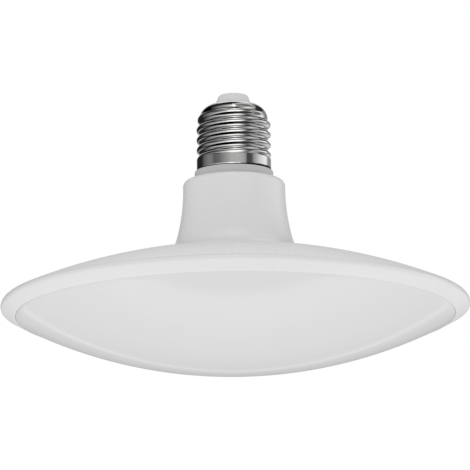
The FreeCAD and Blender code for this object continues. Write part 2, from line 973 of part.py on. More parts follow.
def make_solder_joints():
    joints = [solder_cone(x, z, lead_radius) for x, z in lead_places()]
    joints += [solder_cone(x, z, wire_radius) for x, z in wire_places()]
    half = pin_size / 2
    for x in (-pin_offset, pin_offset):
        base = place(x, pin_y(), led_bottom)
        cone = Part.makeCone(2 * solder_radius, pin_size, pin_tail, base, -AXIS)
        joints.append(cone.cut(box(x - half, x + half, pin_y() - half, pin_y() + half,
                                   led_bottom - pin_tail, led_bottom)))
    return together(joints)


def make_pin_header():
    half_depth = header_depth / 2
    body = box(-header_length / 2, header_length / 2, pin_y() - half_depth, pin_y() + half_depth,
               pad_bottom, pad_bottom + header_height)
    for x in (-pin_offset, pin_offset):
        body = body.cut(box(x - pin_size / 2, x + pin_size / 2, pin_y() - pin_size / 2,
                            pin_y() + pin_size / 2, pad_bottom, pad_bottom + header_height))
    return body


def make_output_pins():
    half = pin_size / 2
    return together(box(x - half, x + half, pin_y() - half, pin_y() + half,
                        led_bottom - pin_tail, pad_bottom + pin_rise)
                    for x in (-pin_offset, pin_offset))


def neutral_y():
    return -driver_front + wire_radius + neutral_lift


def neutral_reach():
    """Where the neutral wire runs down between the spigot and the shell."""
    limit = bore_inner - wire_radius - neutral_clearance
    return math.sqrt(limit ** 2 - neutral_y() ** 2)


def make_neutral_wire():
    y = neutral_y()
    top = spigot_height + over_spigot
    return bent_rod(wire_radius, [
        place(neutral_offset, tail_y(), neutral_height),
        place(neutral_offset, y, neutral_height),
        place(neutral_offset, y, top),
        place(neutral_reach(), y, top),
        place(neutral_reach(), y, spigot_height + wire_radius - wire_bite)], wire_bend)


def make_live_wire():
    return bent_rod(wire_radius, [
        place(0, 0, contact_pin_bottom), place(0, 0, live_height),
        place(0, tail_y(), live_height)], live_bend)


pieces = {
    "housing": make_housing,
    "screw_shell": make_screw_shell,
    "cap_insulator": make_cap_insulator,
    "centre_contact": make_centre_contact,
    "diffuser": make_diffuser,
    "heat_sink": make_heat_sink,
    "thermal_pad": make_thermal_pad,
    "led_board": make_led_board,
    "led_chips": make_led_chips,
    "board_screws": make_board_screws,
    "driver_board": make_driver_board,
    "input_capacitor": lambda: make_can(-1),
    "output_capacitor": lambda: make_can(1),
    "transformer_core": make_transformer_core,
    "transformer_bobbin": make_transformer_bobbin,
    "transformer_winding": make_transformer_winding,
    "varistor": make_varistor,
    "fuse_resistor": make_fuse_resistor,
    "filter_choke": make_filter_choke,
    "film_capacitor": make_film_capacitor,
    "bridge_rectifier": lambda: back_blocks("bridge", bridge_size),
    "driver_chip": lambda: back_blocks("chip", chip_body),
    "diodes": lambda: back_blocks("diodes", diode_size),
    "chip_resistors": lambda: back_blocks("resistors", resistor_size),
    "chip_capacitors": lambda: back_blocks("capacitors", capacitor_size),
    "component_leads": make_component_leads,
    "solder_joints": make_solder_joints,
    "pin_header": make_pin_header,
    "output_pins": make_output_pins,
    "live_wire": make_live_wire,
    "neutral_wire": make_neutral_wire,
}

os.makedirs("parts", exist_ok=True)
for name, make in pieces.items():
    shape = make()
    shape.exportStep("parts/" + name + ".step")
    print(name, len(shape.Solids), "solids", round(shape.Volume, 2), "mm3, valid", shape.isValid())
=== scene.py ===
import bmesh
import bpy
import json
import math
from mathutils import Matrix, Vector

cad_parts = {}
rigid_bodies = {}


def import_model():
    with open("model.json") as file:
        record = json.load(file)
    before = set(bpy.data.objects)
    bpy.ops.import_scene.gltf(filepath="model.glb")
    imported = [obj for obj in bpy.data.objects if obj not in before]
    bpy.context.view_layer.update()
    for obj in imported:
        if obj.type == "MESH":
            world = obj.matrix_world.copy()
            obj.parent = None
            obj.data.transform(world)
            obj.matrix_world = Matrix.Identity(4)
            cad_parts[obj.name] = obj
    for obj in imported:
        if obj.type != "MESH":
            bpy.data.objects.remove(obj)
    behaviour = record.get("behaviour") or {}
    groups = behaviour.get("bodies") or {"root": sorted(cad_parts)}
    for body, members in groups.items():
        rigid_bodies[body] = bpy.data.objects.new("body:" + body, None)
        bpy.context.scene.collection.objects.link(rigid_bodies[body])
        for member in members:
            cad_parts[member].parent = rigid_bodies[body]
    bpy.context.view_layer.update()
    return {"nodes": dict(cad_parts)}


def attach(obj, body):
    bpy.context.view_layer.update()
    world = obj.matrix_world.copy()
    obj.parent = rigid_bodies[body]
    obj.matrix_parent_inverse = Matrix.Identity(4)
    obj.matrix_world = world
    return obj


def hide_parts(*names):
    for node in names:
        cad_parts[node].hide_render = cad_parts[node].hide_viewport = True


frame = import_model()
nodes = frame["nodes"]
scene = bpy.context.scene
millimetre = 0.001
axisUp = Vector((0, 0, 1))
print("lamp: frame loaded,", len(nodes), "nodes")


# drawing half sections: radius to the right, height upwards, in millimetres

def corner(bm, radius, height):
    return bm.verts.new((radius, 0, height))


def lineTo(bm, last, radius, height, parts=1):
    start = last.co.copy()
    end = Vector((radius, 0, height))
    for part in range(1, parts + 1):
        vert = bm.verts.new(start.lerp(end, part / parts))
        bm.edges.new((last, vert))
        last = vert
    return last


def arcTo(bm, last, centre, end, steps):
    startAngle = math.atan2(last.co.z - centre[1], last.co.x - centre[0])
    endAngle = math.atan2(end[1] - centre[1], end[0] - centre[0])
    turn = (endAngle - startAngle + math.pi) % (2 * math.pi) - math.pi
    swept = bmesh.ops.spin(bm, geom=[last], cent=(centre[0], 0, centre[1]), axis=(0, 1, 0),
                           dvec=(0, 0, 0), angle=-turn, steps=steps, use_duplicate=False)
    vert = [item for item in swept["geom_last"] if isinstance(item, bmesh.types.BMVert)][0]
    vert.co = (end[0], 0, end[1])
    return vert


def roundCorners(bm, verts, radius, segments):
    bmesh.ops.bevel(bm, geom=verts, offset=radius, offset_type="OFFSET", segments=segments,
                    profile=0.5, affect="VERTICES", material=-1)


def turnSection(bm, steps):
    # a full turn about the lamp's axis, closed at the seam and at the poles
    bmesh.ops.spin(bm, geom=bm.verts[:] + bm.edges[:], cent=(0, 0, 0), axis=axisUp,
                   dvec=(0, 0, 0), angle=2 * math.pi, steps=steps, use_merge=True,
                   use_duplicate=False)
    bmesh.ops.remove_doubles(bm, verts=bm.verts[:], dist=1e-4)
    bmesh.ops.recalc_face_normals(bm, faces=bm.faces[:])


def finishPiece(bm, name, material, replaced, sharp):
    bmesh.ops.scale(bm, vec=(millimetre,) * 3, verts=bm.verts[:])
    for face in bm.faces:
        face.smooth = True
    for edge in bm.edges:
        edge.smooth = not (edge.is_manifold and edge.calc_face_angle(0) > math.radians(sharp))
    mesh = bpy.data.meshes.new(name)
    bm.to_mesh(mesh)
    bm.free()
    piece = bpy.data.objects.new(name, mesh)
    scene.collection.objects.link(piece)
    mesh.materials.append(material)
    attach(piece, "root")
    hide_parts(*replaced)
    return piece


# shared surface effects, as node groups

def newGroup(name, inputs, outputs):
    group = bpy.data.node_groups.new(name, "ShaderNodeTree")
    for label, kind, value in inputs:
        socket = group.interface.new_socket(label, in_out="INPUT", socket_type=kind)
        socket.default_value = value
    for label, kind in outputs:
        group.interface.new_socket(label, in_out="OUTPUT", socket_type=kind)
    return group, group.nodes.new("NodeGroupInput"), group.nodes.new("NodeGroupOutput")


def addNode(tree, kind, **settings):
    node = tree.nodes.new(kind)
    for key, value in settings.items():
        setattr(node, key, value)
    return node


def noiseAt(tree, vector, scale, detail, roughness=0.5):
    noise = addNode(tree, "ShaderNodeTexNoise")
    noise.inputs["Detail"].default_value = detail
    noise.inputs["Roughness"].default_value = roughness
    tree.links.new(vector, noise.inputs["Vector"])
    if isinstance(scale, (int, float)):
        noise.inputs["Scale"].default_value = scale
    else:
        tree.links.new(scale, noise.inputs["Scale"])
    return noise.outputs["Fac"]


def mathOf(tree, operation, *values):
    node = addNode(tree, "ShaderNodeMath", operation=operation)
    for socket, value in zip(node.inputs, values):
        if isinstance(value, (int, float)):
            socket.default_value = value
        else:
            tree.links.new(value, socket)
    return node.outputs[0]


def rangeOf(tree, value, fromLow, fromHigh, toLow, toHigh):
    node = addNode(tree, "ShaderNodeMapRange")
    for label, item in zip(("Value", "From Min", "From Max", "To Min", "To Max"),
                           (value, fromLow, fromHigh, toLow, toHigh)):
        if isinstance(item, (int, float)):
            node.inputs[label].default_value = item
        else:
            tree.links.new(item, node.inputs[label])
    return node.outputs["Result"]


def mixColours(tree, factor, first, second):
    node = addNode(tree, "ShaderNodeMix", data_type="RGBA")
    colours = [socket for socket in node.inputs if socket.type == "RGBA"]
    tree.links.new(factor, node.inputs["Factor"])
    for socket, item in zip(colours, (first, second)):
        tree.links.new(item, socket)
    return [socket for socket in node.outputs if socket.type == "RGBA"][0]


def makeMouldedGroup():
    # moulded plastic: cloudy flow colour, fine sheen changes and a spark-eroded skin
    group, given, made = newGroup("mouldedSkin", (
        ("Vector", "NodeSocketVector", (0, 0, 0)), ("Colour", "NodeSocketColor", (0.8, 0.8, 0.8, 1)),
        ("Cloud Colour", "NodeSocketColor", (0.7, 0.7, 0.7, 1)), ("Cloud Scale", "NodeSocketFloat", 40.0),
        ("Skin Scale", "NodeSocketFloat", 2500.0), ("Smooth", "NodeSocketFloat", 0.3),
        ("Matt", "NodeSocketFloat", 0.45)),
        (("Colour", "NodeSocketColor"), ("Roughness", "NodeSocketFloat"), ("Height", "NodeSocketFloat")))
    vector = given.outputs["Vector"]
    cloud = noiseAt(group, vector, given.outputs["Cloud Scale"], 4.0, 0.6)
    skin = noiseAt(group, vector, given.outputs["Skin Scale"], 2.0, 0.6)
    wave = noiseAt(group, vector, 18.0, 1.0)
    factor = rangeOf(group, cloud, 0.3, 0.7, 0.0, 1.0)
    group.links.new(mixColours(group, factor, given.outputs["Colour"], given.outputs["Cloud Colour"]),
                    made.inputs["Colour"])
    rough = rangeOf(group, mathOf(group, "ADD", cloud, skin), 0.7, 1.3,
                    given.outputs["Smooth"], given.outputs["Matt"])
    group.links.new(rough, made.inputs["Roughness"])
    group.links.new(mathOf(group, "ADD", mathOf(group, "MULTIPLY", wave, 4.0), skin), made.inputs["Height"])
    return group


def makeTurnedGroup():
    # rolled and turned metal: fine lines round the axis, worn bright where it stands out
    group, given, made = newGroup("turnedMetal", (
        ("Vector", "NodeSocketVector", (0, 0, 0)), ("Colour", "NodeSocketColor", (0.8, 0.8, 0.8, 1)),
        ("Dull Colour", "NodeSocketColor", (0.6, 0.6, 0.6, 1)), ("Low Radius", "NodeSocketFloat", 0.012),
        ("High Radius", "NodeSocketFloat", 0.0131), ("Bright", "NodeSocketFloat", 0.15),
        ("Dull", "NodeSocketFloat", 0.32)),
        (("Colour", "NodeSocketColor"), ("Roughness", "NodeSocketFloat"), ("Height", "NodeSocketFloat")))
    vector = given.outputs["Vector"]
    parts = addNode(group, "ShaderNodeSeparateXYZ")
    group.links.new(vector, parts.inputs[0])
    squares = [mathOf(group, "MULTIPLY", part, part) for part in parts.outputs[:2]]
    radius = mathOf(group, "SQRT", mathOf(group, "ADD", *squares))
    stretch = addNode(group, "ShaderNodeVectorMath", operation="MULTIPLY")
    group.links.new(vector, stretch.inputs[0])
    stretch.inputs[1].default_value = (1.0, 1.0, 30.0)
    lines = noiseAt(group, stretch.outputs[0], 320.0, 4.0, 0.65)
    stain = noiseAt(group, vector, 260.0, 5.0, 0.6)
    worn = rangeOf(group, radius, given.outputs["Low Radius"], given.outputs["High Radius"], 1.0, 0.0)
    stained = rangeOf(group, stain, 0.35, 0.7, 0.25, 1.0)
    dirt = mathOf(group, "MULTIPLY", stained, mathOf(group, "ADD", worn, 0.2))
    dirt.node.use_clamp = True
    group.links.new(mixColours(group, dirt, given.outputs["Colour"], given.outputs["Dull Colour"]),
                    made.inputs["Colour"])
    rough = rangeOf(group, mathOf(group, "ADD", mathOf(group, "MULTIPLY", lines, 0.5), dirt), 0.2, 1.2,
                    given.outputs["Bright"], given.outputs["Dull"])
    group.links.new(rough, made.inputs["Roughness"])
    group.links.new(lines, made.inputs["Height"])
    return group


def makeWovenGroup():
    # printed board: glass weave showing through the lacquer
    group, given, made = newGroup("wovenBoard", (
        ("Vector", "NodeSocketVector", (0, 0, 0)), ("Colour", "NodeSocketColor", (0.8, 0.8, 0.8, 1)),
        ("Weave Colour", "NodeSocketColor", (0.6, 0.6, 0.6, 1)), ("Thread", "NodeSocketFloat", 700.0),
        ("Smooth", "NodeSocketFloat", 0.25), ("Matt", "NodeSocketFloat", 0.45)),
        (("Colour", "NodeSocketColor"), ("Roughness", "NodeSocketFloat"), ("Height", "NodeSocketFloat")))
    heights = []
    for direction in ("X", "Y", "Z"):
        wave = addNode(group, "ShaderNodeTexWave", wave_type="BANDS", bands_direction=direction)
        group.links.new(given.outputs["Vector"], wave.inputs["Vector"])
        group.links.new(given.outputs["Thread"], wave.inputs["Scale"])
        wave.inputs["Distortion"].default_value = 0.4
        heights.append(wave.outputs["Fac"])
    weave = mathOf(group, "DIVIDE", mathOf(group, "ADD", mathOf(group, "ADD", heights[0], heights[1]),
                                           heights[2]), 3.0)
    patch = noiseAt(group, given.outputs["Vector"], 90.0, 3.0)
    factor = mathOf(group, "MULTIPLY", weave, rangeOf(group, patch, 0.3, 0.7, 0.4, 1.0))
    group.links.new(mixColours(group, factor, given.outputs["Colour"], given.outputs["Weave Colour"]),
                    made.inputs["Colour"])
    group.links.new(rangeOf(group, patch, 0.3, 0.7, given.outputs["Smooth"], given.outputs["Matt"]),
                    made.inputs["Roughness"])
    group.links.new(weave, made.inputs["Height"])
    return group


surfaceGroups = {"moulded": makeMouldedGroup(), "turned": makeTurnedGroup(), "woven": makeWovenGroup()}
print("lamp: surface groups made")


def makeMaterial(name, finish, bump, values, **shaderValues):
    # values go to the group's sockets by name, shaderValues to the shader's own
    material = bpy.data.materials.new(name)
    material.use_nodes = True
    tree = material.node_tree
    shader = tree.nodes["Principled BSDF"]
    for label, value in shaderValues.items():
        shader.inputs[label].default_value = value
    place = addNode(tree, "ShaderNodeTexCoord")
    skin = addNode(tree, "ShaderNodeGroup", node_tree=surfaceGroups[finish])
    tree.links.new(place.outputs["Object"], skin.inputs["Vector"])
    for label, value in values.items():
        skin.inputs[label].default_value = value
    relief = addNode(tree, "ShaderNodeBump")
    relief.inputs["Strength"].default_value = bump[0]
    relief.inputs["Distance"].default_value = bump[1]
    tree.links.new(skin.outputs["Height"], relief.inputs["Height"])
    tree.links.new(relief.outputs["Normal"], shader.inputs["Normal"])
    tree.links.new(skin.outputs["Colour"], shader.inputs["Base Color"])
    tree.links.new(skin.outputs["Roughness"], shader.inputs["Roughness"])
    return material


def grey(level, warm=0.0):
    return (level * (1 + warm), level, level * (1 - warm), 1)


# housing: one white moulding with the dish, neck, collar and spigot; the collar takes a darker grey,
# painted shade

housing = {
    "discRadius": 82.5, "rimDepth": 48.4, "wall": 1.8, "dishRadius": 200.0,
    "rimRoundUpper": 2.2, "rimRoundLower": 1.0, "lipInset": 5.2, "lipDepth": 3.5,
    "ledgeDepth": 0.5, "grooveWidth": 2.0, "neckRadius": 18.0,
    "flareRadius": 70.0, "flareStart": 2.7, "rootRound": 9.0, "collarRadius": 13.85,
    "collarHeight": 3.4, "spigotHeight": 15.0, "spigotRadius": 11.55,
    "spigotWall": 1.7, "footRadius": 12.6, "footHeight": 2.1, "seamMargin": 0.01,
    # rounds of the corners, as radius and steps
    "collarRound": (0.4, 3), "neckRound": (2.0, 8), "lipRound": (0.3, 3),
    # steps of the arcs outside and inside, and round the axis
    "flareSteps": (26, 12), "rootSteps": (8, 5), "dishSteps": (34, 16), "rimSteps": (8, 5),
    "steps": 256, "sharp": 50,
}

rimZ = -housing["rimDepth"]
lipZ = rimZ - housing["lipDepth"]
ledgeZ = rimZ - housing["ledgeDepth"]
lipRadius = housing["discRadius"] - housing["lipInset"]
neckTopZ = -housing["collarHeight"]
flareZ = neckTopZ - housing["flareStart"]
rimCentre = (housing["discRadius"] - housing["rimRoundUpper"], rimZ)
dishToRim = housing["dishRadius"] - housing["rimRoundUpper"]
dishCentre = (0.0, rimZ - math.sqrt(dishToRim ** 2 - rimCentre[0] ** 2))
flareCentre = (housing["neckRadius"] + housing["flareRadius"], flareZ)


def towards(start, end, distance):
    run = Vector(end) - Vector(start)
    return tuple(Vector(start) + run.normalized() * distance)


def rootCentre():
    # centre of the round between the flare and the dish
    reach = housing["dishRadius"] + housing["rootRound"]
    inside = housing["flareRadius"] - housing["rootRound"]
    span = Vector(flareCentre) - Vector(dishCentre)
    along = span.normalized()
    across = Vector((-along.y, along.x))
    foot = (reach ** 2 - inside ** 2 + span.length ** 2) / (2 * span.length)
    return tuple(Vector(dishCentre) + along * foot + across * math.sqrt(reach ** 2 - foot ** 2))


def makeHousing(material, collarShadeMaterial):
    bm = bmesh.new()
    root = rootCentre()
    wall = housing["wall"]
    neck = housing["neckRadius"]
    bore = housing["spigotRadius"] - housing["spigotWall"]
    flareOut, flareIn = housing["flareSteps"]
    rootOut, rootIn = housing["rootSteps"]
    dishOut, dishIn = housing["dishSteps"]
    rimOut, rimUnder = housing["rimSteps"]
    rounded = {housing["collarRound"]: [], housing["neckRound"]: [], housing["lipRound"]: []}
    first = corner(bm, bore, housing["spigotHeight"])
    last = lineTo(bm, first, housing["spigotRadius"], housing["spigotHeight"])
    rounded[housing["collarRound"]].append(last)
    last = lineTo(bm, last, housing["spigotRadius"], housing["footHeight"])
    last = lineTo(bm, last, housing["footRadius"], housing["footHeight"])
    last = lineTo(bm, last, housing["footRadius"], 0)
    last = lineTo(bm, last, housing["collarRadius"], 0)
    rounded[housing["collarRound"]].append(last)
    last = lineTo(bm, last, housing["collarRadius"], neckTopZ)
    last = lineTo(bm, last, neck, neckTopZ)
    rounded[housing["neckRound"]].append(last)
    last = lineTo(bm, last, neck, flareZ)
    last = arcTo(bm, last, flareCentre, towards(flareCentre, root, housing["flareRadius"]), flareOut)
    last = arcTo(bm, last, root, towards(dishCentre, root, housing["dishRadius"]), rootOut)
    last = arcTo(bm, last, dishCentre, towards(dishCentre, rimCentre, housing["dishRadius"]), dishOut)
    last = arcTo(bm, last, rimCentre, (housing["discRadius"], rimZ), rimOut)
    under = (housing["discRadius"] - housing["rimRoundLower"], rimZ)
    reach = Vector(under) - Vector((lipRadius, lipZ))
    slope = math.atan2(reach.y, reach.x) - math.asin(housing["rimRoundLower"] / reach.length)
    run = math.sqrt(reach.length ** 2 - housing["rimRoundLower"] ** 2)
    tangent = (lipRadius + math.cos(slope) * run, lipZ + math.sin(slope) * run)
    last = arcTo(bm, last, under, tangent, rimUnder)
    last = lineTo(bm, last, lipRadius, lipZ, 3)
    rounded[housing["lipRound"]].append(last)
    last = lineTo(bm, last, lipRadius, ledgeZ)
    # inner side, back up to the spigot
    groove = lipRadius + housing["grooveWidth"]
    last = lineTo(bm, last, groove, ledgeZ)
    inner = housing["dishRadius"] - wall
    last = lineTo(bm, last, groove, dishCentre[1] + math.sqrt(inner ** 2 - groove ** 2))
    last = arcTo(bm, last, dishCentre, towards(dishCentre, root, inner), dishIn)
    last = arcTo(bm, last, root, towards(flareCentre, root, housing["flareRadius"] + wall), rootIn)
    last = arcTo(bm, last, flareCentre, (neck - wall, flareZ), flareIn)
    last = lineTo(bm, last, neck - wall, neckTopZ - wall)
    last = lineTo(bm, last, bore, neckTopZ - wall)
    bm.edges.new((last, first))
    for (radius, segments), verts in rounded.items():
        roundCorners(bm, verts, radius, segments)
    turnSection(bm, housing["steps"])
    # the collar and spigot faces take a darker grey: painted shade where the collar meets the shell
    for face in bm.faces:
        if face.calc_center_median().z > neckTopZ - housing["seamMargin"]:
            face.material_index = 1
    piece = finishPiece(bm, "lampHousing", material, ["housing"], housing["sharp"])
    piece.data.materials.append(collarShadeMaterial)


whitePlastic = makeMaterial("whitePlastic", "moulded", (0.015, 0.0004), {
    "Colour": grey(0.84), "Cloud Colour": grey(0.825, 0.002), "Cloud Scale": 30.0,
    "Skin Scale": 2600.0, "Smooth": 0.23, "Matt": 0.29}, IOR=1.47)
# a darker copy of the white plastic: painted shade on the collar
collarPaintedShade = makeMaterial("collarPaintedShade", "moulded", (0.035, 0.0004), {
    "Colour": grey(0.59), "Cloud Colour": grey(0.56, 0.002), "Cloud Scale": 60.0,
    "Skin Scale": 2600.0, "Smooth": 0.4, "Matt": 0.5}, IOR=1.47)
makeHousing(whitePlastic, collarPaintedShade)
print("lamp: housing made")


# diffuser: opal cap that snaps into the rim

diffuser = {
    "clearance": 0.05, "wall": 1.6, "setBack": 0.2, "drop": 22.1, "round": 0.5,
    "skirtHeight": 4.25, "beadHeight": 0.8, "beadReach": 0.95, "beadCount": 8,
    "beadAngle": 14.0, "beadRoot": 0.2, "beadSteps": 6, "snapClearance": 0.1,
    "domeSteps": (40, 24), "roundSteps": 4, "steps": 256, "sharp": 50,
}


def makeDiffuser(material):
    bm = bmesh.new()
    edge = lipRadius - diffuser["clearance"]
    inside = edge - diffuser["wall"]
    edgeZ = lipZ + diffuser["setBack"]
    apexZ = rimZ - diffuser["drop"]
    sag = edgeZ - apexZ
    radius = (edge ** 2 + sag ** 2) / (2 * sag)
    centre = (0.0, apexZ + radius)
    skirtTop = edgeZ + diffuser["skirtHeight"]
    innerZ = centre[1] - math.sqrt((radius - diffuser["wall"]) ** 2 - inside ** 2)
    turnInR = edge - diffuser["round"]
    turnIn = (turnInR, centre[1] - math.sqrt((radius - diffuser["round"]) ** 2 - turnInR ** 2))
    domeOut, domeIn = diffuser["domeSteps"]
    first = corner(bm, 0, apexZ)
    last = arcTo(bm, first, centre, towards(centre, turnIn, radius), domeOut)
    last = arcTo(bm, last, turnIn, (edge, turnIn[1]), diffuser["roundSteps"])
    last = lineTo(bm, last, edge, skirtTop)
    last = lineTo(bm, last, inside, skirtTop)
    last = lineTo(bm, last, inside, innerZ)
    arcTo(bm, last, centre, (0.0, apexZ + diffuser["wall"]), domeIn)
    turnSection(bm, diffuser["steps"])
    beadLow = ledgeZ + diffuser["snapClearance"]
    height = diffuser["beadHeight"]
    root = edge - diffuser["beadRoot"]
    for index in range(diffuser["beadCount"]):
        start = math.radians(index * 360 / diffuser["beadCount"] - diffuser["beadAngle"] / 2)
        section = [bm.verts.new((root, 0, beadLow)),
                   bm.verts.new((edge + diffuser["beadReach"], 0, beadLow + height / 2)),
                   bm.verts.new((root, 0, beadLow + height))]
        face = bm.faces.new(section)
        bmesh.ops.rotate(bm, verts=section, cent=(0, 0, 0), matrix=Matrix.Rotation(start, 3, "Z"))
        bmesh.ops.spin(bm, geom=[face], cent=(0, 0, 0), axis=axisUp, dvec=(0, 0, 0),
                       angle=math.radians(diffuser["beadAngle"]), steps=diffuser["beadSteps"],
                       use_duplicate=False)
    bmesh.ops.recalc_face_normals(bm, faces=bm.faces[:])
    finishPiece(bm, "lampDiffuser", material, ["diffuser"], diffuser["sharp"])


opalPlastic = makeMaterial("opalPlastic", "moulded", (0.012, 0.0003), {
    "Colour": grey(0.782), "Cloud Colour": grey(0.767, 0.002), "Cloud Scale": 22.0,
    "Skin Scale": 3200.0, "Smooth": 0.08, "Matt": 0.12}, IOR=1.49)
makeDiffuser(opalPlastic)
print("lamp: diffuser made")


# screw shell: thin pressed sheet with a rolled round thread

shell = {
    # the dark band at the foot reaches these heights, on the -X side and at +X: raw cut edge, and painted
    # shadow of the gap above the collar
    "radius": 13.1, "sheet": 0.3, "hem": 0.75, "hemRadius": 12.65, "edgeShadowHeight": 0.42, "edgeShadowHeightRight": 1.0,
    "band": 4.2, "bandProud": 0.03, "bandSlope": 1.2,
    "pitch": 3.629, "depth": 1.05, "firstRidge": 5.9, "threadTop": 19.6,
    # share of the ridge by its crest's height, near the thread's end
    "runOut": ((17.8, 1.0), (18.5, 0.6), (19.0, 0.65), (19.4, 1.0), (19.8, 0.9), (20.15, 0.0)),
    "shoulderTop": 24.1, "shoulderHole": 6.6,
    "hemSteps": 8, "threadSteps": 164, "shoulderSteps": 36, "steps": 176, "sharp": 70,
}


def ridgeShare(crest):
    # how much of the ridge is left at this height of its crest
    share = 1.0
    for (low, before), (high, after) in zip(shell["runOut"], shell["runOut"][1:]):
        if crest > low:
            share = before + (after - before) * min(1, (crest - low) / (high - low))
    return share


def shellRadius(height, angle, plain):
    # the plain form's radius, or the helical ridge's where that stands out
    pitch = shell["pitch"]
    depth = shell["depth"]
    root = shell["radius"] - depth
    quarter = pitch / 4
    arc = (quarter ** 2 + (depth / 2) ** 2) / depth
    along = (height - shell["firstRidge"]) / pitch - angle / (2 * math.pi)
    offset = abs(along - round(along)) * pitch
    if offset < quarter:
        ridge = shell["radius"] - arc + math.sqrt(arc ** 2 - offset ** 2)
    else:
        ridge = root + arc - math.sqrt(arc ** 2 - (offset - 2 * quarter) ** 2)
    crest = height - (along - round(along)) * pitch
    ridge = plain + (ridge - root) * ridgeShare(crest)
    band = shell["radius"] + shell["bandProud"]
    if height < shell["hem"]:
        band -= shell["hem"] - math.sqrt(shell["hem"] ** 2 - (shell["hem"] - height) ** 2)
        return max(band, shell["hemRadius"])
    slope = band - (height - shell["band"]) / shell["bandSlope"] * (band - root)
    return max(ridge, min(band, slope))


def makeScrewShell(material, edgeShadowMaterial):
    bm = bmesh.new()
    root = shell["radius"] - shell["depth"]
    width = root - shell["shoulderHole"]
    rise = shell["shoulderTop"] - shell["threadTop"]
    arcRadius = (width ** 2 + rise ** 2) / (2 * rise)
    centre = (shell["shoulderHole"], shell["shoulderTop"] - arcRadius)
    first = corner(bm, root, 0)
    last = lineTo(bm, first, root, shell["hem"], shell["hemSteps"])
    last = lineTo(bm, last, root, shell["threadTop"], shell["threadSteps"])
    last = arcTo(bm, last, centre, (shell["shoulderHole"], shell["shoulderTop"]), shell["shoulderSteps"])
    turnSection(bm, shell["steps"])
    for vert in bm.verts:
        plain = math.hypot(vert.co.x, vert.co.y)
        if vert.co.z < shell["threadTop"] + shell["pitch"] / 2:
            scale = shellRadius(vert.co.z, math.atan2(vert.co.y, vert.co.x), plain) / plain
            vert.co.x *= scale
            vert.co.y *= scale
    # the dark band at the foot is the raw cut edge and painted shadow of the gap above the collar, wider
    # towards +X
    for face in bm.faces:
        middle = face.calc_center_median()
        share = max(0.0, middle.x / shell["radius"])
        if middle.z < shell["edgeShadowHeight"] + share * (shell["edgeShadowHeightRight"] - shell["edgeShadowHeight"]):
            face.material_index = 1
    piece = finishPiece(bm, "capShell", material, ["screw_shell"], shell["sharp"])
    piece.data.materials.append(edgeShadowMaterial)
    sheet = piece.modifiers.new("sheet", "SOLIDIFY")
    sheet.thickness = shell["sheet"] * millimetre
    sheet.offset = -1


nickel = makeMaterial("nickelPlate", "turned", (0.05, 0.00004), {
    "Colour": grey(0.80, 0.006), "Dull Colour": grey(0.62, 0.012), "Low Radius": 0.01205,
    "High Radius": 0.0130, "Bright": 0.035, "Dull": 0.10}, Metallic=1.0)
# near black: the raw cut edge, and painted shadow of the gap above the collar
edgeAndShadow = makeMaterial("cutEdgeAndPaintedShadow", "turned", (0.1, 0.00004), {
    "Colour": grey(0.03, 0.02), "Dull Colour": grey(0.02, 0.03), "Low Radius": 0.0120,
    "High Radius": 0.0130, "Bright": 0.45, "Dull": 0.6}, Metallic=1.0)
makeScrewShell(nickel, edgeAndShadow)
print("lamp: screw shell made")


# cap insulator and centre contact

insulator = {
    "clearance": 0.05, "bottom": 17.6, "top": 27.65, "waist": 1.0, "taper": 2.1,
    "plugDrop": 0.4, "shoulderGap": 0.1, "stemRadius": 3.5, "stemBottom": 15.0,
    # rounds of the corners, as radius and steps
    "crownRound": (1.36, 8), "waistRound": (1.0, 5), "mouthRound": (0.1, 2),
    "plugSteps": 5, "steps": 128, "sharp": 40,
}

contact = {
    "radius": 2.4, "proud": 0.15, "head": 0.8, "pinRadius": 0.9, "pinBottom": 13.5,
    "faceSteps": 3, "roundSteps": 4, "steps": 96, "sharp": 40,
}


def makeInsulator(material):
    bm = bmesh.new()
    clearance = insulator["clearance"]
    plug = shell["radius"] - shell["depth"] - shell["sheet"] - clearance
    hole = shell["shoulderHole"] - clearance
    tip = hole - insulator["waist"]
    recess = contact["radius"] + clearance
    bore = contact["pinRadius"] + clearance
    headZ = insulator["top"] + contact["proud"] - contact["head"]
    first = corner(bm, bore, insulator["stemBottom"])
    last = lineTo(bm, first, insulator["stemRadius"], insulator["stemBottom"])
    last = lineTo(bm, last, insulator["stemRadius"], insulator["bottom"])
    last = lineTo(bm, last, plug, insulator["bottom"])
    last = lineTo(bm, last, plug, shell["threadTop"] - insulator["plugDrop"])
    plugTop = shell["shoulderTop"] - shell["sheet"] - insulator["shoulderGap"]
    last = lineTo(bm, last, hole, plugTop, insulator["plugSteps"])
    last = lineTo(bm, last, hole, shell["shoulderTop"])
    waist = lineTo(bm, last, tip, shell["shoulderTop"] + insulator["taper"])
    crown = lineTo(bm, waist, tip, insulator["top"])
    mouth = lineTo(bm, crown, recess, insulator["top"])
    last = lineTo(bm, mouth, recess, headZ)
    last = lineTo(bm, last, bore, headZ)
    bm.edges.new((last, first))
    roundCorners(bm, [crown], *insulator["crownRound"])
    roundCorners(bm, [waist], *insulator["waistRound"])
    roundCorners(bm, [mouth], *insulator["mouthRound"])
    turnSection(bm, insulator["steps"])
    finishPiece(bm, "capInsulator", material, ["cap_insulator"], insulator["sharp"])


def makeContact(material):
    bm = bmesh.new()
    top = insulator["top"] + contact["proud"]
    last = corner(bm, 0, contact["pinBottom"])
    last = lineTo(bm, last, contact["pinRadius"], contact["pinBottom"])
    last = lineTo(bm, last, contact["pinRadius"], top - contact["head"])
    last = lineTo(bm, last, contact["radius"], top - contact["head"])
    edge = lineTo(bm, last, contact["radius"], top)
    lineTo(bm, edge, 0, top, contact["faceSteps"])
    roundCorners(bm, [edge], contact["proud"], contact["roundSteps"])
    turnSection(bm, contact["steps"])
    finishPiece(bm, "capContact", material, ["centre_contact"], contact["sharp"])


